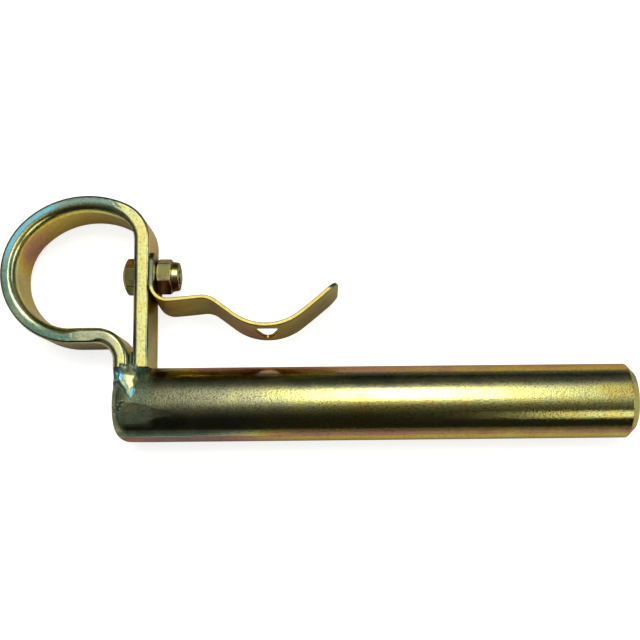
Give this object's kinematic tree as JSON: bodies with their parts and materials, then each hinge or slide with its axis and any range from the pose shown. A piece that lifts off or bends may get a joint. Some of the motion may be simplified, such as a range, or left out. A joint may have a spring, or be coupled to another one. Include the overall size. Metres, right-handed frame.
{
  "type": "hitch pin",
  "caption": "Round steel pin with a flat-bar loop handle welded to its head end and a bent spring leaf bolted beside the shank.",
  "frame": {"origin": "on the shank's axis at the shoulder, the face of the handle's straight leg that a drawn-up plate stops against", "axes": "+X along the shank towards its free tip, +Y towards the top of the handle loop, +Z across the flat bar's width and up, with the pin lying on its side"},
  "size_m": [0.2424, 0.0946, 0.0292],
  "materials": {
    "shank": "yellow zinc chromate over drawn bar, glossy, mottled olive to pink",
    "bar": "yellow zinc chromate over rolled flat bar, glossy",
    "weld": "zinc chromate over bare weld metal, rippled",
    "leaf": "yellow zinc chromate over spring steel, glossy",
    "fastener": "yellow zinc chromate over cold-formed steel, dull",
    "insert": "natural nylon"
  },
  "bodies": {
    "pin": {"shank": "shank", "handle_bar": "bar", "weld_bead": "weld", "clip_bolt": "fastener", "lock_nut": "fastener", "nylon_insert": "insert"},
    "leaf": {"spring_leaf": "leaf"}
  },
  "joints": [
    {"name": "leaf_flex", "type": "hinge", "parent": "pin", "child": "leaf", "pos_m": [0.0073, 0.0443, 0], "axis": [0, 0.0976, 0.9952], "range_deg": [-2, 6], "stiffness_Nm_per_rad": 20, "deforming": ["spring_leaf"]}
  ]
}
